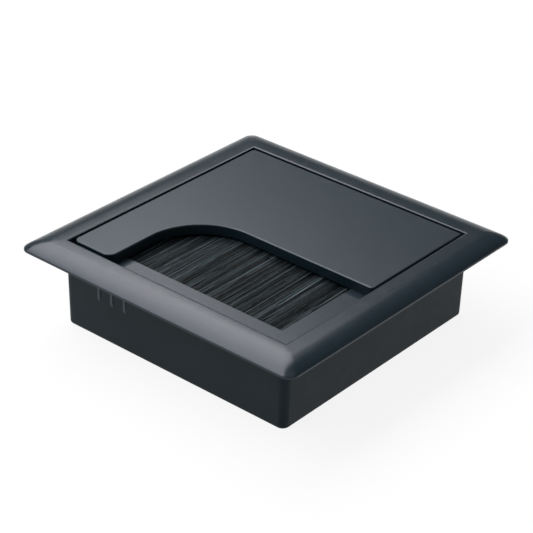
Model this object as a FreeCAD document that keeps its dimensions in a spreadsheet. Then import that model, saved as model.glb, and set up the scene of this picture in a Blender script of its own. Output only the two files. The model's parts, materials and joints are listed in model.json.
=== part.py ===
import FreeCAD, Part
import math
import os
import Sketcher

# Square desk grommet with a lift-out lid and a strip brush that closes the cable slot.
# Millimetres, +Z up. The origin lies under the middle of the sleeve's foot, X runs along
# the brush, and the open cable slot is on the -Y side.

# Driving sizes: name, value, what it measures
SIZES = (
    ("pocket_width", 77.2, "side of the square pocket that the lid lies in"),
    ("band_width", 3.5, "flat band between the lid pocket and the dome"),
    ("dome_width", 5.9, "plan width of the dome, out to the flange's edge"),
    ("flange_corner", 3.0, "plan radius of the flange corners"),
    ("flange_rise", 2.7, "height of the flat band over the flange underside"),
    ("lip_height", 0.55, "upright edge of the flange"),
    ("lip_round", 0.25, "rounding where the dome meets the upright edge"),
    ("band_corner", 1.5, "plan radius of the crease where the dome starts"),
    ("dome_lead", 0.45, "share of the dome's fall that is spread evenly"),
    ("rim_round", 0.25, "rounding of the band's inner edge"),
    ("pocket_wall", 1.1, "pocket to the outside of the sleeve, which goes into an 80 mm square hole"),
    ("sleeve_depth", 23.3, "sleeve height below the flange"),
    ("sleeve_draft", 0.4, "narrowing of each side at the foot"),
    ("sleeve_corner", 2.6, "radius of the sleeve's upright corners"),
    ("sleeve_wall", 1.4, "wall at the foot"),
    ("foot_round", 0.8, "rounding of the sleeve's foot"),
    ("shelf_thick", 1.6, "shelf that carries the lid"),
    ("shelf_reach", 7.8, "shelf from the pocket's wall to the square opening"),
    ("rib_inset", 13.4, "first grip rib, in from the sleeve's left side"),
    ("rib_pitch", 4.8, "spacing of the grip ribs"),
    ("rib_number", 3, "grip ribs on the front of the sleeve"),
    ("rib_width", 0.9, "grip rib width"),
    ("rib_proud", 0.35, "how far a grip rib stands out at its top"),
    ("rib_length", 11.0, "grip rib length below the flange"),
    ("rib_lead", 1.0, "sloped lead-in at a grip rib's lower end"),
    ("lid_thick", 3.0, "lid plate"),
    ("lid_drop", 0.1, "lid top below the flat band"),
    ("lid_side_gap", 0.6, "pocket to lid, left and right"),
    ("lid_back_gap", 0.9, "pocket to lid at the back"),
    ("lid_front_gap", 1.3, "pocket to the end of the lid's leg"),
    ("lid_corner", 1.0, "plan radius of the lid's outer corners"),
    ("leg_outer_corner", 1.8, "outer corner at the leg's end"),
    ("lid_edge_round", 0.4, "rounding of the lid's top edge"),
    ("leg_width", 14.0, "width of the lid's front leg"),
    ("leg_corner", 2.8, "inner corner at the leg's end"),
    ("slot_depth", 34.7, "front end of the leg to the lid's front edge"),
    ("sweep_radius", 18.4, "hollow curve from the leg into the front edge"),
    ("strip_setback", 3.6, "lid's front edge to the mouth of the brush channel"),
    ("strip_side_gap", 0.4, "opening edge to each end of the brush"),
    ("channel_height", 3.6, "outside height of the folded channel"),
    ("channel_depth", 5.0, "mouth to back of the folded channel"),
    ("channel_wall", 0.5, "sheet that the channel is folded from"),
    ("rail_wall", 1.4, "moulded rail under the lid that grips the channel"),
    ("rail_gap", 0.1, "rail to channel"),
    ("wire_diameter", 1.0, "core wire that the filaments are folded round"),
    ("wire_gap", 0.05, "filament root to core wire"),
    ("root_gap", 0.05, "channel to filament root"),
    ("filament_width", 0.46, "across the corners of a filament"),
    ("filament_pitch", 0.68, "filament spacing along the brush"),
    ("row_pitch", 0.55, "filament spacing from row to row"),
    ("tip_gap", 0.3, "filament tips to the front edge of the opening"),
)

# Places that follow from the driving sizes: name, formula, what it is
PLACES = (
    ("band_top", "sizes.sleeve_depth + sizes.flange_rise", "top of the flat band"),
    ("lip_top", "sizes.sleeve_depth + sizes.lip_height", "top of the upright edge"),
    ("flange_width", "sizes.pocket_width + 2 * (sizes.band_width + sizes.dome_width)", "side of the flange"),
    ("sleeve_width", "sizes.pocket_width + 2 * sizes.pocket_wall", "outside of the sleeve under the flange"),
    ("opening_width", "sizes.pocket_width - 2 * sizes.shelf_reach", "side of the square opening"),
    ("dome_fall", "sizes.flange_rise - sizes.lip_height", "height that the dome falls"),
    ("shelf_top", "band_top - sizes.lid_drop - sizes.lid_thick", "seat of the lid"),
    ("bore_width", "sleeve_width - 2 * sizes.sleeve_draft - 2 * sizes.sleeve_wall", "inside of the sleeve"),
    ("bore_corner", "sizes.sleeve_corner - sizes.sleeve_wall", "radius of the bore's upright corners"),
    ("lid_half_x", "sizes.pocket_width / 2 - sizes.lid_side_gap", "half of the lid's width"),
    ("lid_back", "sizes.pocket_width / 2 - sizes.lid_back_gap", "back edge of the lid"),
    ("leg_end", "sizes.lid_front_gap - sizes.pocket_width / 2", "front end of the lid's leg"),
    ("leg_inner", "sizes.leg_width - lid_half_x", "inner side of the leg"),
    ("lid_front", "leg_end + sizes.slot_depth", "front edge of the lid behind the slot"),
    ("strip_half", "opening_width / 2 - sizes.strip_side_gap", "half of the brush's length"),
    ("channel_mouth", "lid_front + sizes.strip_setback", "front of the brush channel"),
    ("channel_back", "channel_mouth + sizes.channel_depth", "back of the brush channel"),
    ("channel_low", "shelf_top - sizes.channel_height", "underside of the brush channel"),
    ("channel_mid", "shelf_top - sizes.channel_height / 2", "mid height of the brush channel"),
    ("fold_mid", "channel_back - sizes.channel_height / 2", "middle of the channel's fold"),
    ("fold_inside", "sizes.channel_height / 2 - sizes.channel_wall", "inside radius of the fold"),
    ("root_radius", "fold_inside - sizes.root_gap", "half the height of the filament root"),
    ("filament_length", "channel_mouth + opening_width / 2 - sizes.tip_gap", "free length of the filaments"),
    ("filament_run", "2 * strip_half - sizes.filament_width - sizes.filament_pitch / 2", "room for one row"),
)

DOME_SECTIONS = 5
DOME_POWER = 4
FILAMENT_SIDES = 6
FILAMENT_ROWS = 3
SAME_PLACE = 1e-4

document = FreeCAD.newDocument("grommet")


def fill_sheet(name, rows, prefix):
    """Writes one row for each value, with the value's name as its alias."""
    sheet = document.addObject("Spreadsheet::Sheet", name)
    for number, (alias, value, note) in enumerate(rows, start=1):
        sheet.set(f"A{number}", alias)
        sheet.set(f"B{number}", prefix + str(value))
        sheet.setAlias(f"B{number}", alias)
        sheet.set(f"C{number}", note)
    document.recompute()
    return sheet


sizes = fill_sheet("sizes", SIZES, "")
places = fill_sheet("places", PLACES, "=")


def new_body(label):
    body = document.addObject("PartDesign::Body", label)
    body.Label = label
    return body


def new_sketch(body, name, plane, offset=None):
    """Sketch on one of the body's own origin planes, moved along its normal by a formula."""
    sketch = body.newObject("Sketcher::SketchObject", name)
    support = next(f for f in body.Origin.OriginFeatures if f.Role == plane)
    sketch.AttachmentSupport = [(support, "")]
    sketch.MapMode = "FlatFace"
    if offset:
        sketch.setExpression("AttachmentOffset.Base.z", offset)
    return sketch


def worth(formula):
    """Value of a formula over the two sheets."""
    return float(sizes.evalExpression(formula))


def bind(sketch, name, constraint, formula):
    """Adds one dimension to a sketch and ties it to a formula."""
    index = sketch.addConstraint(constraint)
    sketch.renameConstraint(index, name)
    sketch.setExpression(f"Constraints.{name}", formula)


def outline(sketch, corners):
    """Closed outline of straight lines whose corners are tied to x and y formulas."""
    points = [FreeCAD.Vector(worth(x), worth(y), 0) for x, y in corners]
    count = len(points)
    first = sketch.GeometryCount
    for index in range(count):
        sketch.addGeometry(Part.LineSegment(points[index], points[(index + 1) % count]), False)
    for index, (across, along) in enumerate(corners):
        line = first + index
        before = first + (index - 1) % count
        sketch.addConstraint(Sketcher.Constraint("Coincident", before, 2, line, 1))
        point = points[index]
        bind(sketch, f"across{line}", Sketcher.Constraint("DistanceX", -1, 1, line, 1, point.x), across)
        bind(sketch, f"along{line}", Sketcher.Constraint("DistanceY", -1, 1, line, 1, point.y), along)


def square(sketch, width):
    low = f"-({width}) / 2"
    high = f"({width}) / 2"
    outline(sketch, ((low, low), (high, low), (high, high), (low, high)))


def rounded_square(sketch, width, corner):
    """Square about the origin with equal round corners, tied to two formulas."""
    half = worth(width) / 2
    radius = worth(corner)
    flat = half - radius
    for turn in range(4):
        spin = FreeCAD.Rotation(FreeCAD.Vector(0, 0, 1), 90 * turn)
        start = spin.multVec(FreeCAD.Vector(-flat, -half, 0))
        end = spin.multVec(FreeCAD.Vector(flat, -half, 0))
        sketch.addGeometry(Part.LineSegment(start, end), False)
    for turn in range(4):
        spin = FreeCAD.Rotation(FreeCAD.Vector(0, 0, 1), 90 * turn)
        bend = radius * (1 - 0.5 ** 0.5)
        start = spin.multVec(FreeCAD.Vector(flat, -half, 0))
        middle = spin.multVec(FreeCAD.Vector(half - bend, bend - half, 0))
        end = spin.multVec(FreeCAD.Vector(half, -flat, 0))
        sketch.addGeometry(Part.Arc(start, middle, end), False)
    for turn in range(4):
        sketch.addConstraint(Sketcher.Constraint("Tangent", turn, 2, 4 + turn, 1))
        sketch.addConstraint(Sketcher.Constraint("Tangent", 4 + turn, 2, (turn + 1) % 4, 1))
    sketch.addConstraint(Sketcher.Constraint("Symmetric", 0, 1, 0, 2, -2))
    sketch.addConstraint(Sketcher.Constraint("Symmetric", 1, 1, 1, 2, -1))
    sketch.addConstraint(Sketcher.Constraint("Equal", 0, 1))
    sketch.addConstraint(Sketcher.Constraint("Horizontal", 2))
    sketch.addConstraint(Sketcher.Constraint("Vertical", 3))
    for turn in range(1, 4):
        sketch.addConstraint(Sketcher.Constraint("Equal", 4, 4 + turn))
    bind(sketch, "corner", Sketcher.Constraint("Radius", 4, radius), corner)
    bind(sketch, "width", Sketcher.Constraint("DistanceX", 3, 1, 1, 1, 2 * half), width)


def round_back(sketch, front, middle, level, radius):
    """Flat strip section with a straight front edge and a half round back."""
    face, centre, height, half = (worth(f) for f in (front, middle, level, radius))
    corners = [FreeCAD.Vector(face, height + half, 0), FreeCAD.Vector(face, height - half, 0),
               FreeCAD.Vector(centre, height - half, 0), FreeCAD.Vector(centre, height + half, 0)]
    back = FreeCAD.Vector(centre + half, height, 0)
    sketch.addGeometry(Part.LineSegment(corners[0], corners[1]), False)
    sketch.addGeometry(Part.LineSegment(corners[1], corners[2]), False)
    sketch.addGeometry(Part.Arc(corners[2], back, corners[3]), False)
    sketch.addGeometry(Part.LineSegment(corners[3], corners[0]), False)
    sketch.addConstraint(Sketcher.Constraint("Coincident", 0, 2, 1, 1))
    sketch.addConstraint(Sketcher.Constraint("Tangent", 1, 2, 2, 1))
    sketch.addConstraint(Sketcher.Constraint("Tangent", 2, 2, 3, 1))
    sketch.addConstraint(Sketcher.Constraint("Coincident", 3, 2, 0, 1))
    sketch.addConstraint(Sketcher.Constraint("Vertical", 0))
    sketch.addConstraint(Sketcher.Constraint("Horizontal", 1))
    sketch.addConstraint(Sketcher.Constraint("Horizontal", 3))
    bind(sketch, "half_height", Sketcher.Constraint("Radius", 2, half), radius)
    bind(sketch, "front", Sketcher.Constraint("DistanceX", -1, 1, 0, 1, face), front)
    bind(sketch, "middle", Sketcher.Constraint("DistanceX", -1, 1, 2, 3, centre), middle)
    bind(sketch, "level", Sketcher.Constraint("DistanceY", -1, 1, 2, 3, height), level)


def pad(body, name, sketch, length, down=False, both_ways=False):
    feature = body.newObject("PartDesign::Pad", name)
    feature.Profile = sketch
    feature.Reversed = down
    feature.Midplane = both_ways
    feature.setExpression("Length", length)
    document.recompute()
    return feature


def cut(body, name, sketch, depth, up=False, both_ways=False):
    """Pocket from a sketch that has to remove material."""
    before = body.Shape.Volume
    feature = body.newObject("PartDesign::Pocket", name)
    feature.Profile = sketch
    feature.Reversed = up
    feature.Midplane = both_ways
    feature.setExpression("Length", depth)
    document.recompute()
    if feature.Shape.Volume >= before:
        raise RuntimeError(f"{name} cuts nothing")
    return feature


def repeat(body, name, feature, direction, pitch, number):
    """Evenly spaced copies of one feature in a straight line."""
    row = body.newObject("PartDesign::LinearPattern", name)
    row.Originals = [feature]
    row.Direction = direction
    row.setExpression("Length", f"{pitch} * ({number} - 1)")
    row.setExpression("Occurrences", number)
    body.Tip = row
    document.recompute()
    return row


def edges_where(feature, wanted):
    """Names of the edges whose ends and middle all pass a test of their place."""
    names = []
    for number, edge in enumerate(feature.Shape.Edges, start=1):
        middle = edge.valueAt((edge.FirstParameter + edge.LastParameter) / 2)
        if all(wanted(point) for point in [v.Point for v in edge.Vertexes] + [middle]):
            names.append(f"Edge{number}")
    return names


def soften(body, name, base, wanted, radius):
    """Fillet over the edges that pass a test, with its radius tied to a formula."""
    feature = body.newObject("PartDesign::Fillet", name)
    feature.Base = (base, edges_where(base, wanted))
    feature.setExpression("Radius", radius)
    document.recompute()
    return feature


def same(one, other):
    return abs(one - other) < SAME_PLACE


def upright_at(across, along):
    """Test for the upright edge that stands at one corner of a plan."""
    x, y = worth(across), worth(along)
    return lambda point: same(point.x, x) and same(point.y, y)


def reach(point):
    """Distance from the middle of a square about the origin to the side through a point."""
    return max(abs(point.x), abs(point.y))


def make_flange(body):
    """Upright lip, then a dome that falls slowly from the flat band and steeply at the lip."""
    foot = new_sketch(body, "lip_outline", "XY_Plane", "sizes.sleeve_depth")
    rounded_square(foot, "places.flange_width", "sizes.flange_corner")
    pad(body, "lip", foot, "sizes.lip_height")
    sections = []
    for step in range(DOME_SECTIONS):
        out = 1 - step / (DOME_SECTIONS - 1)
        fall = f"(sizes.dome_lead * {out} + (1 - sizes.dome_lead) * {out ** DOME_POWER})"
        level = f"places.band_top - places.dome_fall * {fall}"
        section = new_sketch(body, f"dome_section_{step}", "XY_Plane", level)
        width = f"(places.flange_width - 2 * sizes.dome_width * {1 - out})"
        corner = f"(sizes.band_corner + (sizes.flange_corner - sizes.band_corner) * {out})"
        rounded_square(section, width, corner)
        sections.append(section)
    dome = body.newObject("PartDesign::AdditiveLoft", "dome")
    dome.Profile = sections[0]
    dome.Sections = sections[1:]
    dome.Ruled = False
    document.recompute()


def make_sleeve(body):
    """Drafted collar below the flange, open at the foot, with the lid's shelf inside its top."""
    ring = new_sketch(body, "sleeve_outline", "XY_Plane", "sizes.sleeve_depth")
    rounded_square(ring, "places.sleeve_width", "sizes.sleeve_corner")
    sleeve = pad(body, "sleeve", ring, "sizes.sleeve_depth", down=True)
    sleeve.setExpression("TaperAngle", "-atan(sizes.sleeve_draft / sizes.sleeve_depth)")
    document.recompute()
    bore = new_sketch(body, "bore_outline", "XY_Plane")
    rounded_square(bore, "places.bore_width", "places.bore_corner")
    cut(body, "bore", bore, "places.shelf_top - sizes.shelf_thick", up=True)
    pocket = new_sketch(body, "pocket_outline", "XY_Plane", "places.band_top")
    square(pocket, "sizes.pocket_width")
    cut(body, "pocket", pocket, "sizes.lid_thick + sizes.lid_drop")
    opening = new_sketch(body, "opening_outline", "XY_Plane", "places.shelf_top")
    square(opening, "places.opening_width")
    return cut(body, "opening", opening, "sizes.shelf_thick")


def make_grip_ribs(body):
    """Thin upright ribs on the front of the sleeve that bite into the desk's cut-out."""
    face = "places.sleeve_width / 2"
    low = "(sizes.sleeve_depth - sizes.rib_length)"
    side = new_sketch(body, "rib_side", "YZ_Plane", f"sizes.rib_inset - {face}")
    outline(side, (
        (f"sizes.sleeve_wall / 2 - {face}", "sizes.sleeve_depth"),
        (f"-sizes.rib_proud - {face}", "sizes.sleeve_depth"),
        (f"-sizes.rib_proud - {face}", f"{low} + sizes.rib_lead"),
        (f"sizes.sleeve_wall / 2 - {face}", f"{low} - sizes.rib_lead"),
    ))
    rib = pad(body, "grip_rib", side, "sizes.rib_width", both_ways=True)
    return repeat(body, "grip_ribs", rib, (side, ["N_Axis"]), "sizes.rib_pitch", "sizes.rib_number")


def make_frame():
    """One moulding: domed flange, lid pocket with its shelf, sleeve and grip ribs."""
    body = new_body("frame")
    make_flange(body)
    make_sleeve(body)
    last = make_grip_ribs(body)
    lip_top = worth("places.lip_top")
    band_top = worth("places.band_top")
    pocket = worth("sizes.pocket_width / 2")
    bore = worth("places.bore_width / 2")
    last = soften(body, "lip_rounding", last,
                  lambda p: same(p.z, lip_top) and reach(p) > pocket + SAME_PLACE, "sizes.lip_round")
    last = soften(body, "rim_rounding", last,
                  lambda p: same(p.z, band_top) and reach(p) < pocket + SAME_PLACE, "sizes.rim_round")
    soften(body, "foot_rounding", last,
           lambda p: same(p.z, 0) and reach(p) > bore + SAME_PLACE, "sizes.foot_round")
    return body


def make_lid():
    """Lift-out plate with a swept cut-out, and the rail under it that holds the brush."""
    body = new_body("lid")
    plan = new_sketch(body, "lid_outline", "XY_Plane", "places.shelf_top")
    corners = (
        ("-places.lid_half_x", "places.leg_end"),
        ("places.leg_inner", "places.leg_end"),
        ("places.leg_inner", "places.lid_front"),
        ("places.lid_half_x", "places.lid_front"),
        ("places.lid_half_x", "places.lid_back"),
        ("-places.lid_half_x", "places.lid_back"),
    )
    outline(plan, corners)
    last = pad(body, "plate", plan, "sizes.lid_thick")
    radii = ("leg_outer_corner", "leg_corner", "sweep_radius", "lid_corner", "lid_corner", "lid_corner")
    for number, (corner, radius) in enumerate(zip(corners, radii)):
        last = soften(body, f"plan_corner_{number}", last, upright_at(*corner), f"sizes.{radius}")
    top = worth("places.shelf_top + sizes.lid_thick")
    soften(body, "top_rounding", last, lambda p: same(p.z, top), "sizes.lid_edge_round")
    under = "places.channel_low - sizes.rail_gap"
    behind = "places.channel_back + sizes.rail_gap"
    side = new_sketch(body, "rail_side", "YZ_Plane")
    outline(side, (
        ("places.channel_mouth", under),
        ("places.channel_mouth", f"{under} - sizes.rail_wall"),
        (f"{behind} + sizes.rail_wall", f"{under} - sizes.rail_wall"),
        (f"{behind} + sizes.rail_wall", "places.shelf_top"),
        (behind, "places.shelf_top"),
        (behind, under),
    ))
    pad(body, "rail", side, "2 * places.strip_half", both_ways=True)
    return body


def make_channel():
    """Strip folded into a U that is open to the front and grips the filament root."""
    body = new_body("brush_channel")
    outside = new_sketch(body, "fold_outside", "YZ_Plane")
    half_height = "sizes.channel_height / 2"
    round_back(outside, "places.channel_mouth", "places.fold_mid", "places.channel_mid", half_height)
    pad(body, "folded_strip", outside, "2 * places.strip_half", both_ways=True)
    inside = new_sketch(body, "fold_inside", "YZ_Plane")
    round_back(inside, "places.channel_mouth", "places.fold_mid", "places.channel_mid", "places.fold_inside")
    cut(body, "fold_hollow", inside, "2 * places.strip_half", both_ways=True)
    return body


def make_core_wire():
    """Straight wire that lies in the fold, inside the bent filaments."""
    wire = document.addObject("Part::Cylinder", "core_wire")
    wire.Label = "core_wire"
    wire.Placement = FreeCAD.Placement(FreeCAD.Vector(), FreeCAD.Rotation(FreeCAD.Vector(0, 1, 0), 90))
    wire.setExpression("Radius", "sizes.wire_diameter / 2")
    wire.setExpression("Height", "2 * places.strip_half")
    wire.setExpression("Placement.Base.x", "-places.strip_half")
    wire.setExpression("Placement.Base.y", "places.fold_mid")
    wire.setExpression("Placement.Base.z", "places.channel_mid")
    document.recompute()
    return wire


def filament(across, up):
    """One free filament, a six-sided rod that runs forward from the channel's mouth."""
    radius = worth("sizes.filament_width / 2")
    mouth = worth("places.channel_mouth")
    ring = []
    for side in range(FILAMENT_SIDES):
        angle = 2 * math.pi * side / FILAMENT_SIDES
        ring.append(FreeCAD.Vector(across + radius * math.cos(angle), mouth, up + radius * math.sin(angle)))
    end = Part.Face(Part.makePolygon(ring + ring[:1]))
    return end.extrude(FreeCAD.Vector(0, -worth("places.filament_length"), 0))


def make_root():
    """Packed filaments in the channel, folded round a straight way for the core wire."""
    half = worth("places.strip_half")
    radius = worth("places.root_radius")
    mouth = worth("places.channel_mouth")
    middle = worth("places.fold_mid")
    level = worth("places.channel_mid")
    along = FreeCAD.Vector(1, 0, 0)
    fold = FreeCAD.Vector(-half, middle, level)
    packed = Part.makeBox(2 * half, middle - mouth, 2 * radius, FreeCAD.Vector(-half, mouth, level - radius))
    packed = packed.fuse(Part.makeCylinder(radius, 2 * half, fold, along)).removeSplitter()
    way = worth("sizes.wire_diameter / 2 + sizes.wire_gap")
    return packed.cut(Part.makeCylinder(way, 2 * half, fold, along))


def make_bristles():
    """Strip brush filling: the packed root with rows of staggered free filaments in front."""
    pitch = worth("sizes.filament_pitch")
    number = math.floor(worth("places.filament_run") / pitch) + 1
    rods = []
    for row in range(FILAMENT_ROWS):
        up = worth("places.channel_mid") + worth("sizes.row_pitch") * (row - (FILAMENT_ROWS - 1) / 2)
        shift = (row % 2 - 0.5) * pitch / 2
        for step in range(number):
            rods.append(filament((step - (number - 1) / 2) * pitch + shift, up))
    bristles = document.addObject("Part::Feature", "bristles")
    bristles.Label = "bristles"
    bristles.Shape = make_root().fuse(rods)
    bristles.Placement = FreeCAD.Placement()
    return bristles


def check_document():
    """Stops on any object that failed to build."""
    for item in document.Objects:
        if "Invalid" in item.State or "Error" in item.State:
            raise RuntimeError(f"{item.Name} failed: {item.State}")


def write_pieces(pieces):
    """Checks each piece's solid, then writes all of them."""
    for piece in pieces:
        if piece.Shape.isNull() or not piece.Shape.isValid():
            raise RuntimeError(f"{piece.Label} has no sound shape")
    os.makedirs("parts", exist_ok=True)
    for piece in pieces:
        piece.Shape.exportStep(f"parts/{piece.Label}.step")
        print(f"{piece.Label}: {len(piece.Shape.Solids)} solid, {piece.Shape.Volume:.1f} mm3")


pieces = (make_frame(), make_lid(), make_channel(), make_core_wire(), make_bristles())
document.recompute()
check_document()
write_pieces(pieces)
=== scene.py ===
import json
import math

import bmesh
import bpy
from mathutils import Matrix, Vector


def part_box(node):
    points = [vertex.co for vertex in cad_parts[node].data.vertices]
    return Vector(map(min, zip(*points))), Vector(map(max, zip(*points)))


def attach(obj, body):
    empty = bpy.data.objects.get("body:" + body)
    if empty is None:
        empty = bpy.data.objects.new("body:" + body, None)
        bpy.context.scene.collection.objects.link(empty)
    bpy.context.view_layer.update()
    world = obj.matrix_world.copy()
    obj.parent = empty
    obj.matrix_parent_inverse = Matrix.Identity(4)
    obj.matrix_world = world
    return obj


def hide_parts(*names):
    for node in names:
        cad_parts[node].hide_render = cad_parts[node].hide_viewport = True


# Looks for a square desk grommet with a lift-out lid and a strip brush across its cable slot.
# Metres, in the frame of the solid model.

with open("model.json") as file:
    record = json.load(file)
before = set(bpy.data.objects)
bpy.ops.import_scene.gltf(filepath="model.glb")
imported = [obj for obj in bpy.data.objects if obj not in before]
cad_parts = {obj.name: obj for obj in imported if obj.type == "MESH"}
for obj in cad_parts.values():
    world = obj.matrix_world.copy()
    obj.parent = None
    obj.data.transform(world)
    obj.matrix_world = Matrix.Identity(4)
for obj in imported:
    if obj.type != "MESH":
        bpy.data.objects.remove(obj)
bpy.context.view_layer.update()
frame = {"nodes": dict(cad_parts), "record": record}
nodes = frame["nodes"]

# Camera, found from the straight edges in the 533 pixel frame and aimed at the middle of the desk seat
PICTURE_PIXELS = 533
FOCAL_PIXELS = 1875.76
CENTRE_PIXEL_ACROSS = 271.66
CENTRE_PIXEL_DOWN = 266.81
CAMERA_TURN = math.radians(39.56)
CAMERA_RISE = math.radians(30.17)
CAMERA_ROLL = math.radians(1.66)
CAMERA_DISTANCE = 0.51467
CAMERA_RIGHT = 0.000874
CAMERA_UP = -0.005976
SENSOR_WIDTH = 36.0

# Studio
WHITE = 1.0
CEILING_LEVEL = 0.1
WALL_TOP = math.sin(math.radians(4))
CEILING_START = math.sin(math.radians(12))
FLOOR_HALF = 3.0
FLOOR_GLOW = 0.88  # share of the floor's look that is plain white when it is seen directly
FLOOR_COLOUR = (0.86, 0.86, 0.86, 1)

# Middle stretch of a noise, where nearly all of its values lie
NOISE_LOW = 0.3
NOISE_HIGH = 0.7

# Frame's surface
FOOT_TO_FRONT = 0.0015  # from the middle of the foot's rim out to the sleeve's front under the flange
SLEEVE_TAPER = 0.0004  # how much further in the sleeve's front is at the floor
RIB_SKIN = 0.00004  # what stands out less than this from the sleeve is no rib
RIB_MOST = 0.0006  # and what stands out more isn't one either
RIB_SHARE = 0.25  # of the ribs' height in the solid model that is kept
LID_SIDE_GAP = 0.0006
RIM_ROUND = 0.00025
RIM_SPREAD = 2.4  # how many times wider the rim's rounding gets, at the same depth
LEVEL_STEP = 0.0001  # clear of a face's own level
MERGE_REACH = 0.000001
SHARP_ANGLE = math.radians(30)
FLAT_SHARP_ANGLE = math.radians(24)
FLAT_NORMAL = 0.9999
LARGEST_FACE_WINS = 100

# Brush, with its filaments in pairs that are folded round the core wire
FILAMENT_PAIRS = 1400
FILAMENT_RADIUS = 0.0001
FILAMENT_SIDES = 3
POINTS_PER_PAIR = 13
FOLD_SHARE = 1 / 3  # of a pair's points that go round the wire
CHANNEL_SHEET = 0.0005
WIRE_CLEARANCE = 0.00005
TIP_HALF_HEIGHT = 0.00075
CLUMP_WIDTH = 0.00045
CLUMP_LEAN = 0.0003
CLUMP_PULL = 0.65  # share of the way that a tip moves to the middle of its clump
PULL_POWER = 0.5  # below 1, so that most of the pull comes early on the leg
STRAY_LEAN = 0.0008
BEND_POWER = 1.6  # above 1, so that most of the lean comes near the tip
TRIM_SCATTER = 0.0005
UPPER_ROW_STEP = 3.0  # gives the clumps of the upper row leans of their own
# A filament's tone, whose pale end is painted highlight, is partly shared along stretches of the brush
TONE_WIDTH = 0.6  # stretch of one tone, in clump widths
TONE_SHARE = 0.72  # of a filament's tone that comes from its stretch
BRUSH_SEED = 7


def mount_place(name):
    """Place of one of the part's mounts."""
    return Vector(next(mount["pos_m"] for mount in frame["record"]["mounts"] if mount["name"] == name))


SEAT_LEVEL = mount_place("desk_seat").z
FOOT_HALF = -mount_place("foot_rim").y
AIM = Vector((0, 0, SEAT_LEVEL))


def direction(turn, rise):
    """Unit vector from the object towards a place round it: turn 0 is in front, on -Y."""
    flat = math.cos(rise)
    return Vector((math.sin(turn) * flat, -math.cos(turn) * flat, math.sin(rise)))


def new_object(name, data):
    """Object that holds this data, linked to the scene."""
    made = bpy.data.objects.new(name, data)
    bpy.context.scene.collection.objects.link(made)
    return made


def settle(piece, modifier):
    """Turns the piece with its modifier into a plain mesh."""
    view = bpy.context.evaluated_depsgraph_get()
    mesh = bpy.data.meshes.new_from_object(
        piece.evaluated_get(view), preserve_all_data_layers=True, depsgraph=view)
    piece.modifiers.remove(modifier)
    piece.data = mesh
    mesh.name = piece.name


def make_camera():
    back = direction(CAMERA_TURN, CAMERA_RISE)
    level_right = Vector((math.cos(CAMERA_TURN), math.sin(CAMERA_TURN), 0))
    level_up = back.cross(level_right)
    right = level_right * math.cos(CAMERA_ROLL) + level_up * math.sin(CAMERA_ROLL)
    up = level_up * math.cos(CAMERA_ROLL) - level_right * math.sin(CAMERA_ROLL)
    data = bpy.data.cameras.new("camera")
    data.sensor_width = SENSOR_WIDTH
    data.lens = SENSOR_WIDTH * FOCAL_PIXELS / PICTURE_PIXELS
    data.shift_x = (PICTURE_PIXELS / 2 - CENTRE_PIXEL_ACROSS) / PICTURE_PIXELS
    data.shift_y = (CENTRE_PIXEL_DOWN - PICTURE_PIXELS / 2) / PICTURE_PIXELS
    camera = new_object("camera", data)
    place = Matrix((right, up, back)).transposed().to_4x4()
    place.translation = AIM + back * CAMERA_DISTANCE + right * CAMERA_RIGHT + up * CAMERA_UP
    camera.matrix_world = place
    bpy.context.scene.camera = camera


def softbox(name, turn, rise, distance, width, height, radiance):
    """Rectangular lamp that faces the object and looks equally bright from anywhere."""
    data = bpy.data.lights.new(name, "AREA")
    data.shape = "RECTANGLE"
    data.size = width
    data.size_y = height
    data.energy = radiance * math.pi * width * height
    towards = direction(math.radians(turn), math.radians(rise))
    lamp = new_object(name, data)
    lamp.location = AIM + towards * distance
    lamp.rotation_euler = towards.to_track_quat("Z", "Y").to_euler()


def add(tree, kind, **settings):
    """New node with its plain settings."""
    node = tree.nodes.new(kind)
    for name, value in settings.items():
        setattr(node, name, value)
    return node


def join(tree, *ends):
    """Links sockets, given as pairs of an output and an input."""
    for out, into in zip(ends[::2], ends[1::2]):
        tree.links.new(out, into)


def make_world():
    """White studio wall up to a little over the horizon, and a dim ceiling above it, for every ray."""
    world = bpy.data.worlds.new("studio")
    world.use_nodes = True
    tree = world.node_tree
    tree.nodes.clear()
    towards = add(tree, "ShaderNodeTexCoord").outputs["Generated"]
    parts = add(tree, "ShaderNodeSeparateXYZ")
    level = add(tree, "ShaderNodeMapRange", interpolation_type="SMOOTHSTEP")
    level.inputs["From Min"].default_value = WALL_TOP
    level.inputs["From Max"].default_value = CEILING_START
    level.inputs["To Min"].default_value = WHITE
    level.inputs["To Max"].default_value = CEILING_LEVEL
    room = add(tree, "ShaderNodeBackground")
    room.inputs["Color"].default_value = (1, 1, 1, 1)
    out = add(tree, "ShaderNodeOutputWorld")
    join(tree, towards, parts.inputs[0], parts.outputs["Z"], level.inputs["Value"])
    join(tree, level.outputs["Result"], room.inputs["Strength"], room.outputs[0], out.inputs["Surface"])
    bpy.context.scene.world = world


def new_material(name):
    material = bpy.data.materials.new(name)
    material.use_nodes = True
    tree = material.node_tree
    tree.nodes.clear()
    return material, tree, add(tree, "ShaderNodeOutputMaterial")


def seen_directly(tree):
    """1 for camera, mirror and see-through rays, 0 for the rays that carry light."""
    path = add(tree, "ShaderNodeLightPath")
    both = add(tree, "ShaderNodeMath", operation="MAXIMUM")
    every = add(tree, "ShaderNodeMath", operation="MAXIMUM")
    join(tree, path.outputs["Is Camera Ray"], both.inputs[0], path.outputs["Is Glossy Ray"], both.inputs[1])
    join(tree, both.outputs[0], every.inputs[0], path.outputs["Is Transmission Ray"], every.inputs[1])
    return every.outputs[0]


def matt_floor(tree):
    matt = add(tree, "ShaderNodeBsdfDiffuse")
    matt.inputs["Color"].default_value = FLOOR_COLOUR
    return matt.outputs[0]


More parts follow.
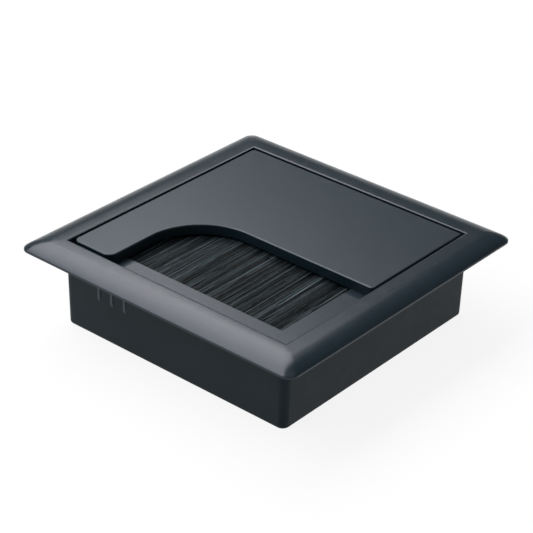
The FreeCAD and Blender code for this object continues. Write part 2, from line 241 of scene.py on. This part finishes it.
def pale_floor():
    """Matt white that the camera, mirrors and clear things see mostly as plain white."""
    material, tree, out = new_material("pale_floor")
    glow = add(tree, "ShaderNodeEmission")
    glow.inputs["Strength"].default_value = WHITE
    share = add(tree, "ShaderNodeMath", operation="MULTIPLY")
    share.inputs[1].default_value = FLOOR_GLOW
    mix = add(tree, "ShaderNodeMixShader")
    join(tree, seen_directly(tree), share.inputs[0], share.outputs[0], mix.inputs[0])
    join(tree, matt_floor(tree), mix.inputs[1], glow.outputs[0], mix.inputs[2])
    join(tree, mix.outputs[0], out.inputs["Surface"])
    return material


def covered_floor():
    """The same floor where the sleeve stands over it and keeps the light off."""
    material, tree, out = new_material("covered_floor")
    join(tree, matt_floor(tree), out.inputs["Surface"])
    return material


def make_floor():
    """Square floor whose middle, under the sleeve, has its own material."""
    corners = ((-1, -1), (1, -1), (1, 1), (-1, 1))
    outer = [(across * FLOOR_HALF, along * FLOOR_HALF, 0) for across, along in corners]
    inner = [(across * FOOT_HALF, along * FOOT_HALF, 0) for across, along in corners]
    sides = [(side, (side + 1) % 4, 4 + (side + 1) % 4, 4 + side) for side in range(4)]
    mesh = bpy.data.meshes.new("floor")
    mesh.from_pydata(outer + inner, [], sides + [(4, 5, 6, 7)])
    mesh.materials.append(pale_floor())
    mesh.materials.append(covered_floor())
    mesh.polygons[len(sides)].material_index = 1
    floor = new_object("floor", mesh)


def noise(tree, place, per_metre, detail, roughness=0.5):
    """Noise on the piece's own coordinates, with about this many features to the metre."""
    texture = add(tree, "ShaderNodeTexNoise")
    texture.inputs["Scale"].default_value = per_metre
    texture.inputs["Detail"].default_value = detail
    texture.inputs["Roughness"].default_value = roughness
    join(tree, place, texture.inputs["Vector"])
    return texture.outputs["Fac"]


def spread(tree, value, low, high):
    """Stretches the middle of a noise over a range."""
    stretch = add(tree, "ShaderNodeMapRange")
    stretch.inputs["From Min"].default_value = NOISE_LOW
    stretch.inputs["From Max"].default_value = NOISE_HIGH
    stretch.inputs["To Min"].default_value = low
    stretch.inputs["To Max"].default_value = high
    join(tree, value, stretch.inputs["Value"])
    return stretch.outputs["Result"]


def shade_between(tree, value, dark, light):
    """Colour that runs from dark to light with a value from 0 to 1."""
    mix = add(tree, "ShaderNodeMix", data_type="RGBA")
    mix.inputs["A"].default_value = (*dark, 1)
    mix.inputs["B"].default_value = (*light, 1)
    join(tree, value, mix.inputs["Factor"])
    return next(socket for socket in mix.outputs if socket.type == "RGBA")


def bump(tree, height, strength, depth, under=None):
    """Relief from a noise, on top of another relief if there is one."""
    node = add(tree, "ShaderNodeBump")
    node.inputs["Strength"].default_value = strength
    node.inputs["Distance"].default_value = depth
    join(tree, height, node.inputs["Height"])
    if under is not None:
        join(tree, under, node.inputs["Normal"])
    return node.outputs["Normal"]


def moulded_plastic(name, dark, light, specular, tint, roughness, grain):
    """Blue-black moulding with slow cloudiness, smudges of gloss, slight waves and a fine grain."""
    material, tree, out = new_material(name)
    place = add(tree, "ShaderNodeTexCoord").outputs["Object"]
    skin = add(tree, "ShaderNodeBsdfPrincipled")
    skin.inputs["Specular IOR Level"].default_value = specular
    skin.inputs["Specular Tint"].default_value = (*tint, 1)
    cloud = noise(tree, place, per_metre=38, detail=3)
    join(tree, shade_between(tree, spread(tree, cloud, 0, 1), dark, light), skin.inputs["Base Color"])
    smudges = noise(tree, place, per_metre=240, detail=5, roughness=0.62)
    join(tree, spread(tree, smudges, *roughness), skin.inputs["Roughness"])
    waves = noise(tree, place, per_metre=45, detail=1)
    wavy = bump(tree, waves, strength=0.05, depth=0.0001)
    grains = noise(tree, place, per_metre=5200, detail=2)
    grained = bump(tree, grains, strength=grain, depth=0.00002, under=wavy)
    join(tree, grained, skin.inputs["Normal"], skin.outputs[0], out.inputs["Surface"])
    return material


def drawn_steel(name, dark, light, scratches_per_metre):
    """Zinc-grey steel with fine scratches along X."""
    material, tree, out = new_material(name)
    place = add(tree, "ShaderNodeTexCoord").outputs["Object"]
    along = add(tree, "ShaderNodeMapping")
    along.inputs["Scale"].default_value = scratches_per_metre
    join(tree, place, along.inputs["Vector"])
    scratches = noise(tree, along.outputs[0], per_metre=1, detail=4, roughness=0.6)
    skin = add(tree, "ShaderNodeBsdfPrincipled")
    skin.inputs["Metallic"].default_value = 1.0
    join(tree, shade_between(tree, spread(tree, scratches, 0, 1), dark, light), skin.inputs["Base Color"])
    smudges = noise(tree, place, per_metre=300, detail=3)
    join(tree, spread(tree, smudges, low=0.3, high=0.48), skin.inputs["Roughness"])
    scratched = bump(tree, scratches, strength=0.2, depth=0.00002)
    join(tree, scratched, skin.inputs["Normal"], skin.outputs[0], out.inputs["Surface"])
    return material


def nylon_with_painted_glints(name, dark, light, glint_rarity, specular):
    """Black filaments of which a few are paler, the fewer the higher the rarity: the paler ones are painted
    highlight, standing in for the glints along the filaments.
    """
    material, tree, out = new_material(name)
    glint_tone = add(tree, "ShaderNodeAttribute", attribute_type="GEOMETRY", attribute_name="glint_tone")
    skin = add(tree, "ShaderNodeBsdfPrincipled")
    skin.inputs["Specular IOR Level"].default_value = specular
    rare = add(tree, "ShaderNodeMath", operation="POWER")
    rare.inputs[1].default_value = glint_rarity
    join(tree, glint_tone.outputs["Fac"], rare.inputs[0])
    join(tree, shade_between(tree, rare.outputs[0], dark, light), skin.inputs["Base Color"])
    place = add(tree, "ShaderNodeTexCoord").outputs["Object"]
    smudges = noise(tree, place, per_metre=900, detail=2)
    join(tree, spread(tree, smudges, low=0.42, high=0.58), skin.inputs["Roughness"])
    join(tree, skin.outputs[0], out.inputs["Surface"])
    return material


class Fields:
    """Short words for the maths between sockets in a geometry tree."""

    def __init__(self, tree):
        self.tree = tree

    def maths(self, operation, *values):
        node = add(self.tree, "ShaderNodeMath", operation=operation)
        for socket, value in zip(node.inputs, values):
            if isinstance(value, (int, float)):
                socket.default_value = value
            else:
                join(self.tree, value, socket)
        return node.outputs[0]

    def times(self, one, other):
        return self.maths("MULTIPLY", one, other)

    def over(self, one, other):
        return self.maths("DIVIDE", one, other)

    def plus(self, one, other):
        return self.maths("ADD", one, other)

    def minus(self, one, other):
        return self.maths("SUBTRACT", one, other)

    def within(self, value, low, high):
        """The value, but no lower than low and no higher than high."""
        return self.maths("MAXIMUM", self.maths("MINIMUM", value, high), low)

    def between(self, share, low, high):
        """Low where the share is 0 and high where it is 1."""
        return self.plus(low, self.times(share, self.minus(high, low)))

    def scatter(self, low, high, seed):
        """One random number for each filament pair."""
        node = add(self.tree, "FunctionNodeRandomValue", data_type="FLOAT")
        ends = [socket for socket in node.inputs if socket.type == "VALUE" and socket.enabled]
        for socket, value in zip(ends, (low, high)):
            socket.default_value = value
        join(self.tree, seed, node.inputs["Seed"])
        return next(socket for socket in node.outputs if socket.type == "VALUE" and socket.enabled)

    def kept(self, geometry, name, value):
        """Stores one number on each point under a name."""
        node = add(self.tree, "GeometryNodeStoreNamedAttribute", data_type="FLOAT", domain="POINT")
        node.inputs["Name"].default_value = name
        number = next(socket for socket in node.inputs if socket.name == "Value" and socket.enabled)
        join(self.tree, geometry, node.inputs["Geometry"], value, number)
        return node.outputs["Geometry"]

    def named(self, name):
        """The number that was stored under a name."""
        node = add(self.tree, "GeometryNodeInputNamedAttribute", data_type="FLOAT")
        node.inputs["Name"].default_value = name
        return next(socket for socket in node.outputs if socket.name == "Attribute" and socket.enabled)


BRUSH_INPUTS = (
    ("Filament pairs", "NodeSocketInt"),
    ("Brush length", "NodeSocketFloat"),
    ("Tips", "NodeSocketFloat"),
    ("Fold middle", "NodeSocketFloat"),
    ("Level", "NodeSocketFloat"),
    ("Inner radius", "NodeSocketFloat"),
    ("Outer radius", "NodeSocketFloat"),
    ("Tip half height", "NodeSocketFloat"),
    ("Filament radius", "NodeSocketFloat"),
    ("Clump width", "NodeSocketFloat"),
    ("Clump lean", "NodeSocketFloat"),
    ("Clump pull", "NodeSocketFloat"),
    ("Stray lean", "NodeSocketFloat"),
    ("Trim scatter", "NodeSocketFloat"),
    ("Seed", "NodeSocketInt"),
    ("Nylon", "NodeSocketMaterial"),
)


def filament_points(tree, do, given):
    """One point for each filament pair, with the pair's own numbers stored on it."""
    seed = given["Seed"]
    points = add(tree, "GeometryNodePoints")
    join(tree, given["Filament pairs"], points.inputs["Count"])
    number = add(tree, "GeometryNodeInputIndex").outputs[0]
    step = do.over(do.plus(number, do.scatter(0.0, 1.0, seed)), given["Filament pairs"])
    room = do.minus(given["Brush length"], do.times(2.0, given["Filament radius"]))
    across = do.times(do.minus(step, 0.5), room)
    depth = do.maths("SQRT", do.scatter(0.0, 1.0, do.plus(seed, 1)))
    # Tone of each pair; the nylon shows its pale end as painted highlight
    own_tone = do.scatter(0.0, 1.0, do.plus(seed, 2))
    stretch = do.over(across, do.times(given["Clump width"], TONE_WIDTH))
    shared_tone = add(tree, "ShaderNodeTexWhiteNoise", noise_dimensions="1D")
    join(tree, do.maths("FLOOR", stretch), shared_tone.inputs["W"])
    numbers = {
        "across": across,
        "layer": do.between(depth, given["Inner radius"], given["Outer radius"]),
        "glint_tone": do.between(TONE_SHARE, own_tone, shared_tone.outputs["Value"]),
        "upper_lean": do.scatter(-1.0, 1.0, do.plus(seed, 3)),
        "lower_lean": do.scatter(-1.0, 1.0, do.plus(seed, 4)),
        "trim": do.scatter(0.0, 1.0, do.plus(seed, 5)),
    }
    geometry = points.outputs[0]
    for name, value in numbers.items():
        geometry = do.kept(geometry, name, value)
    return geometry


def pair_curves(tree, points):
    """A straight curve for each filament pair, to be bent into its place."""
    line = add(tree, "GeometryNodeCurvePrimitiveLine")
    divided = add(tree, "GeometryNodeResampleCurve")
    divided.inputs["Count"].default_value = POINTS_PER_PAIR
    copies = add(tree, "GeometryNodeInstanceOnPoints")
    curves = add(tree, "GeometryNodeRealizeInstances")
    join(tree, line.outputs[0], divided.inputs["Curve"], points, copies.inputs["Points"])
    join(tree, divided.outputs[0], copies.inputs["Instance"], copies.outputs[0], curves.inputs[0])
    return curves.outputs[0]


def place_across(tree, do, given, leg, upper):
    """Place along the brush: drawn into its clump, then leaning with the clump and by itself."""
    across = do.named("across")
    clump = do.maths("FLOOR", do.over(across, given["Clump width"]))
    middle = do.times(do.plus(clump, 0.5), given["Clump width"])
    pull = do.times(given["Clump pull"], do.maths("POWER", leg, PULL_POWER))
    drawn_in = do.plus(across, do.times(do.minus(middle, across), pull))
    roll = add(tree, "ShaderNodeTexWhiteNoise", noise_dimensions="2D")
    row = do.plus(do.times(upper, UPPER_ROW_STEP), given["Seed"])
    clump_and_row = add(tree, "ShaderNodeCombineXYZ")
    join(tree, clump, clump_and_row.inputs["X"], row, clump_and_row.inputs["Y"])
    join(tree, clump_and_row.outputs[0], roll.inputs["Vector"])
    clump_lean = do.times(do.minus(roll.outputs["Value"], 0.5), do.times(2.0, given["Clump lean"]))
    own_lean = do.between(upper, do.named("lower_lean"), do.named("upper_lean"))
    stray = do.times(do.times(own_lean, do.maths("ABSOLUTE", own_lean)), given["Stray lean"])
    bend = do.maths("POWER", leg, BEND_POWER)
    wanted = do.plus(drawn_in, do.times(bend, do.plus(clump_lean, stray)))
    limit = do.minus(do.times(given["Brush length"], 0.5), given["Filament radius"])
    return do.within(wanted, do.times(limit, -1.0), limit)


def pair_place(tree, do, given):
    """Where each point of a pair lies: round the wire in the fold, and along both legs to the tips."""
    along = add(tree, "GeometryNodeSplineParameter").outputs["Factor"]
    side = do.minus(do.times(2.0, along), 1.0)
    beyond_fold = do.maths("MAXIMUM", do.minus(do.maths("ABSOLUTE", side), FOLD_SHARE), 0.0)
    leg = do.over(beyond_fold, 1 - FOLD_SHARE)
    angle = do.times(do.within(do.over(side, FOLD_SHARE), -1.0, 1.0), math.pi / 2)
    upper = do.maths("GREATER_THAN", side, 0.0)
    back = do.plus(given["Fold middle"], do.times(do.named("layer"), do.maths("COSINE", angle)))
    tips = do.plus(given["Tips"], do.times(do.named("trim"), given["Trim scatter"]))
    root_up = do.times(do.named("layer"), do.maths("SINE", angle))
    tip_up = do.times(do.over(root_up, given["Outer radius"]), given["Tip half height"])
    place = add(tree, "ShaderNodeCombineXYZ")
    join(tree, place_across(tree, do, given, leg, upper), place.inputs["X"])
    join(tree, do.between(leg, back, tips), place.inputs["Y"])
    join(tree, do.plus(given["Level"], do.between(leg, root_up, tip_up)), place.inputs["Z"])
    return place.outputs[0]


def brush_tree():
    """Filaments folded round the core wire, each pair one thin closed rod from tip to tip."""
    tree = bpy.data.node_groups.new("strip_brush", "GeometryNodeTree")
    for name, kind in BRUSH_INPUTS:
        tree.interface.new_socket(name, in_out="INPUT", socket_type=kind)
    tree.interface.new_socket("Geometry", in_out="OUTPUT", socket_type="NodeSocketGeometry")
    given = add(tree, "NodeGroupInput").outputs
    do = Fields(tree)
    curves = pair_curves(tree, filament_points(tree, do, given))
    bent = add(tree, "GeometryNodeSetPosition")
    join(tree, curves, bent.inputs["Geometry"], pair_place(tree, do, given), bent.inputs["Position"])
    ring = add(tree, "GeometryNodeCurvePrimitiveCircle")
    ring.inputs["Resolution"].default_value = FILAMENT_SIDES
    join(tree, given["Filament radius"], ring.inputs["Radius"])
    rods = add(tree, "GeometryNodeCurveToMesh")
    rods.inputs["Fill Caps"].default_value = True
    join(tree, bent.outputs[0], rods.inputs["Curve"], ring.outputs[0], rods.inputs["Profile Curve"])
    smooth = add(tree, "GeometryNodeSetShadeSmooth")
    solid = add(tree, "GeometryNodeRealizeInstances")
    painted = add(tree, "GeometryNodeSetMaterial")
    join(tree, rods.outputs[0], smooth.inputs[0], smooth.outputs[0], solid.inputs[0])
    join(tree, solid.outputs[0], painted.inputs["Geometry"], given["Nylon"], painted.inputs["Material"])
    join(tree, painted.outputs[0], add(tree, "NodeGroupOutput").inputs[0])
    return tree


def grown(name, tree, settings):
    """Plain mesh object that a geometry tree makes from its named inputs."""
    piece = new_object(name, bpy.data.meshes.new(name))
    maker = piece.modifiers.new("maker", "NODES")
    maker.node_group = tree
    sockets = {item.name: item.identifier for item in tree.interface.items_tree if item.in_out == "INPUT"}
    for label, value in settings.items():
        maker[sockets[label]] = value
    settle(piece, maker)
    return piece


def make_bristles(nylon):
    """Filaments in the space of the bristles' solid, round the core wire and inside the channel."""
    low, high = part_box("bristles")
    channel_low, channel_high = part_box("brush_channel")
    wire_low, wire_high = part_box("core_wire")
    wire_radius = (wire_high.z - wire_low.z) / 2
    channel_inside = (channel_high.z - channel_low.z) / 2 - CHANNEL_SHEET
    piece = grown("brush_filaments", brush_tree(), {
        "Filament pairs": FILAMENT_PAIRS,
        "Brush length": high.x - low.x,
        "Tips": low.y,
        "Fold middle": (wire_low.y + wire_high.y) / 2,
        "Level": (wire_low.z + wire_high.z) / 2,
        "Inner radius": wire_radius + WIRE_CLEARANCE + FILAMENT_RADIUS,
        "Outer radius": channel_inside - FILAMENT_RADIUS,
        "Tip half height": TIP_HALF_HEIGHT,
        "Filament radius": FILAMENT_RADIUS,
        "Clump width": CLUMP_WIDTH,
        "Clump lean": CLUMP_LEAN,
        "Clump pull": CLUMP_PULL,
        "Stray lean": STRAY_LEAN,
        "Trim scatter": TRIM_SCATTER,
        "Seed": BRUSH_SEED,
        "Nylon": nylon,
    })
    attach(piece, "root")
    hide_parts("bristles")


def widen_rim(shape):
    """Spreads the rounding of the pocket's edge over more of the flat band."""
    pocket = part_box("lid")[1].x + LID_SIDE_GAP
    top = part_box("frame")[1].z
    for vert in shape.verts:
        if vert.co.z < top - RIM_ROUND - MERGE_REACH:
            continue
        for axis in range(2):
            beyond = abs(vert.co[axis]) - pocket
            if 0 < beyond < RIM_ROUND + MERGE_REACH:
                vert.co[axis] = math.copysign(pocket + beyond * RIM_SPREAD, vert.co[axis])


def proud(place):
    """How far a place below the flange stands out from the sleeve's tapered front."""
    front = SLEEVE_TAPER * (1 - place.z / SEAT_LEVEL) - FOOT_HALF - FOOT_TO_FRONT
    return front - place.y


def is_rib(place):
    return RIB_SKIN < proud(place) < RIB_MOST


def lower_ribs(shape):
    """Makes the grip ribs stand out less than they do in the solid model."""
    for vert in shape.verts:
        if vert.co.z < SEAT_LEVEL + MERGE_REACH and is_rib(vert.co):
            vert.co.y += proud(vert.co) * (1 - RIB_SHARE)


def share_finishes(shape):
    """First material on the ribs and above the shelf, and second on the rest of the sleeve, darker as
    painted shade; the ribs keep the paler first one as a painted highlight.
    """
    shelf_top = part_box("brush_channel")[1].z  # the channel's top is level with it
    for face in shape.faces:
        middle = face.calc_center_median()
        below_flange = middle.z < SEAT_LEVEL - LEVEL_STEP
        below_shelf = middle.z < shelf_top - LEVEL_STEP
        face.smooth = True
        # Ribs keep the paler satin as painted highlight; the sleeve below the shelf gets the painted shade
        face.material_index = int(below_shelf and not (below_flange and is_rib(middle)))


def mark_edges(shape):
    """Smooth shading over every edge that isn't a real corner."""
    shape.normal_update()
    for edge in shape.edges:
        beside_flat = any(face.normal.z > FLAT_NORMAL for face in edge.link_faces)
        sharp_from = FLAT_SHARP_ANGLE if beside_flat else SHARP_ANGLE
        edge.smooth = edge.calc_face_angle(math.pi) < sharp_from


def make_frame_skin(satin, matt):
    """The frame's surface as one smooth piece, with low ribs, a wide pocket rim and a dull sleeve whose
    darker colour is painted shade.
    """
    shape = bmesh.new()
    shape.from_mesh(nodes["frame"].data)
    bmesh.ops.remove_doubles(shape, verts=shape.verts, dist=MERGE_REACH)
    widen_rim(shape)
    lower_ribs(shape)
    share_finishes(shape)
    mark_edges(shape)
    mesh = bpy.data.meshes.new("frame_moulding")
    shape.to_mesh(mesh)
    shape.free()
    mesh.materials.append(satin)
    mesh.materials.append(matt)
    piece = new_object("frame_moulding", mesh)
    even = piece.modifiers.new("even_normals", "WEIGHTED_NORMAL")
    even.keep_sharp = True
    even.weight = LARGEST_FACE_WINS
    settle(piece, even)
    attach(piece, "root")
    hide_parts("frame")


def dress(node, material):
    """Gives a solid of the frame its finish."""
    node.material_slots[0].material = material


make_camera()
make_world()
make_floor()
softbox("left_softbox", turn=-84.4, rise=57.8, distance=0.98, width=1.8, height=0.59, radiance=5.6)
softbox("top_softbox", turn=43, rise=80.8, distance=1.5, width=1.8, height=0.95, radiance=0.55)

frame_satin = moulded_plastic(
    "frame_satin",
    dark=(0.0115, 0.021, 0.028),
    light=(0.0135, 0.024, 0.031),
    specular=0.36,
    tint=(0.88, 0.86, 0.97),
    roughness=(0.225, 0.265),
    grain=0.008,
)
lid_satin = moulded_plastic(
    "lid_satin",
    dark=(0.0055, 0.0145, 0.0205),
    light=(0.0065, 0.0165, 0.0225),
    specular=0.43,
    tint=(0.83, 0.88, 1.0),
    roughness=(0.29, 0.33),
    grain=0.012,
)
# Rougher, less glossy copy of the frame's satin for the sleeve; its darker colour is painted shade under
# the flange, not a different plastic
sleeve_matt_painted_shade = moulded_plastic(
    "sleeve_matt_painted_shade",
    dark=(0.005, 0.0115, 0.0145),
    light=(0.007, 0.014, 0.0175),
    specular=0.15,
    tint=(0.73, 0.86, 0.97),
    roughness=(0.44, 0.5),
    grain=0.06,
)
zinc_strip = drawn_steel(
    "zinc_strip",
    dark=(0.3, 0.3, 0.31),
    light=(0.5, 0.5, 0.5),
    scratches_per_metre=(40, 6000, 6000),
)
drawn_wire = drawn_steel(
    "drawn_wire",
    dark=(0.28, 0.28, 0.29),
    light=(0.45, 0.45, 0.45),
    scratches_per_metre=(30, 8000, 8000),
)
# The light colour is painted highlight: a few filaments are made pale to stand in for the glints along them
brush_nylon = nylon_with_painted_glints(
    "nylon_with_painted_glints",
    dark=(0.0015, 0.003, 0.004),
    light=(0.12, 0.162, 0.182),
    glint_rarity=4.0,
    specular=0.1,
)

make_frame_skin(frame_satin, sleeve_matt_painted_shade)
dress(nodes["lid"], lid_satin)
dress(nodes["brush_channel"], zinc_strip)
dress(nodes["core_wire"], drawn_wire)
make_bristles(brush_nylon)

bpy.context.scene.view_settings.view_transform = "Standard"
